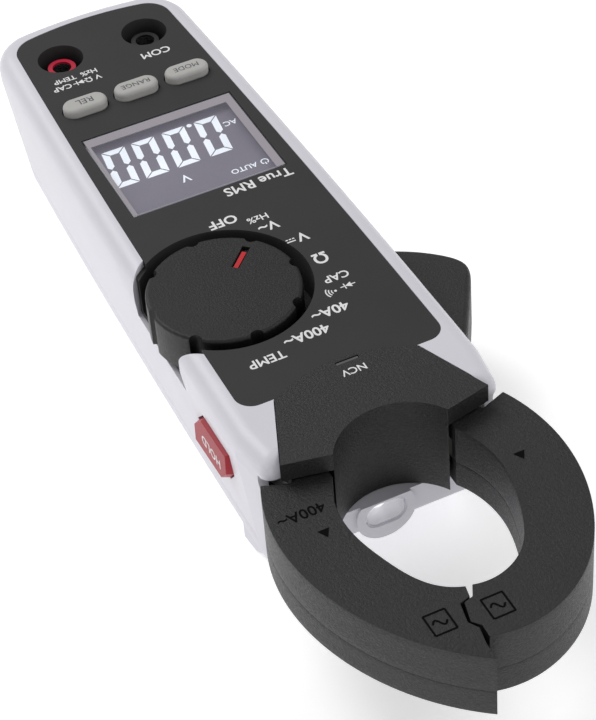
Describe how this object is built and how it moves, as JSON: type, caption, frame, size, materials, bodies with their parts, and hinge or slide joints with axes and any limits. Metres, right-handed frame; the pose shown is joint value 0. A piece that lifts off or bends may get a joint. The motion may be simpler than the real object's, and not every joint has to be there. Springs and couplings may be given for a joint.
{
  "type": "clamp meter",
  "caption": "Handheld clamp meter with two geared jaws opened by a side trigger, an edge-turned range dial, face keys, a lit display and shrouded test-lead jacks.",
  "frame": {"origin": "on the flat back face, level with the middle of the casing and on the plane between the jaws", "axes": "+Z out of the display face, +Y along the meter towards the jaws, +X to the side of the dial's edge, the HOLD key and the volts jack"},
  "size_m": [0.0677, 0.1972, 0.0383],
  "materials": {
    "white_shell": "satin off-white moulded plastic",
    "grey_panel": "dark grey fine-grained moulded plastic",
    "grained_black": "black spark-eroded grain plastic",
    "light_pipe": "milky light pipe plastic",
    "clear_window": "clear flat polycarbonate window",
    "display_glass": "display glass, dark lilac-grey with pale segments",
    "backlight": "milky backlight plate",
    "display_holder": "pale grey holder",
    "silicone": "grey silicone contact strips",
    "board": "green laminate circuit board",
    "copper": "copper",
    "switch_black": "black moulded component cases",
    "chip_black": "black chip packages",
    "red_plastic": "red moulded insulation",
    "black_plastic": "black moulded plastic",
    "brass": "turned brass, plated",
    "battery_metal": "sleeved alkaline cells with bare ends",
    "spring_steel": "plated steel",
    "lamp_lens": "clear moulded torch optics",
    "white_inner": "natural acetal",
    "pointer_red": "red pointer inlay",
    "key_grey": "pale grey rubber keys",
    "hold_red": "dark red moulded key",
    "core_iron": "stacked nickel-iron laminations"
  },
  "bodies": {
    "casing": {"front_casing": "white_shell", "back_casing": "white_shell", "face_panel": "grey_panel", "jaw_base_cover": "grained_black", "field_light_pipe": "light_pipe", "display_window": "clear_window", "display_glass": "display_glass", "display_backlight": "backlight", "display_holder": "display_holder", "contact_strips": "silicone", "circuit_board": "board", "range_contacts": "copper", "key_switches": "switch_black", "measuring_chip": "chip_black", "buzzer": "switch_black", "volts_jack_sleeve": "red_plastic", "common_jack_sleeve": "black_plastic", "jack_contacts": "brass", "batteries": "battery_metal", "battery_contacts": "spring_steel", "battery_cradle": "black_plastic", "torch_lens": "lamp_lens", "torch_lamp": "lamp_lens", "hinge_pins": "spring_steel", "jaw_spring": "spring_steel", "casing_screws": "spring_steel"},
    "left_jaw": {"left_jaw_upper": "grained_black", "left_jaw_lower": "grained_black", "left_jaw_gear": "white_inner", "left_core": "core_iron", "left_bobbin": "white_inner", "left_winding": "copper", "trigger": "grained_black", "trigger_screws": "spring_steel"},
    "right_jaw": {"right_jaw_upper": "grained_black", "right_jaw_lower": "grained_black", "right_jaw_gear": "white_inner", "right_core": "core_iron", "right_bobbin": "white_inner", "right_winding": "copper"},
    "dial": {"range_dial": "grained_black", "dial_pointer": "pointer_red", "dial_rotor": "white_inner", "dial_wipers": "copper"},
    "mode_button": {"mode_key": "key_grey"},
    "range_button": {"range_key": "key_grey"},
    "rel_button": {"rel_key": "key_grey"},
    "hold_button": {"hold_key": "hold_red"},
    "hatch": {"battery_hatch": "white_shell", "hatch_screw": "spring_steel"}
  },
  "joints": [
    {"name": "left_jaw_open", "type": "hinge", "parent": "casing", "child": "left_jaw", "pos_m": [-0.0135, 0.0595, 0], "axis": [0, 0, 1], "range_deg": [0, 17], "stiffness_Nm_per_rad": 0.6, "springref_deg": -17.19},
    {"name": "right_jaw_open", "type": "hinge", "parent": "casing", "child": "right_jaw", "pos_m": [0.0135, 0.0595, 0], "axis": [0, 0, 1], "range_deg": [-17, 0]},
    {"name": "dial_turn", "type": "hinge", "parent": "casing", "child": "dial", "pos_m": [0.00972, 0.02596, 0], "axis": [0, 0, 1], "range_deg": [-135, 22.5]},
    {"name": "mode_press", "type": "slide", "parent": "casing", "child": "mode_button", "axis": [0, 0, -1], "range_m": [0, 0.0012], "stiffness_N_per_m": 600, "springref_m": -0.001},
    {"name": "range_press", "type": "slide", "parent": "casing", "child": "range_button", "axis": [0, 0, -1], "range_m": [0, 0.0012], "stiffness_N_per_m": 600, "springref_m": -0.001},
    {"name": "rel_press", "type": "slide", "parent": "casing", "child": "rel_button", "axis": [0, 0, -1], "range_m": [0, 0.0012], "stiffness_N_per_m": 600, "springref_m": -0.001},
    {"name": "hold_press", "type": "slide", "parent": "casing", "child": "hold_button", "axis": [-1, 0, 0], "range_m": [0, 0.0008], "stiffness_N_per_m": 800, "springref_m": -0.001},
    {"name": "hatch_off", "type": "slide", "parent": "casing", "child": "hatch", "axis": [0, 0, -1], "range_m": [0, 0.012]}
  ],
  "couplings": [
    {"joint": "right_jaw_open", "follows": "left_jaw_open", "ratio": -1}
  ]
}
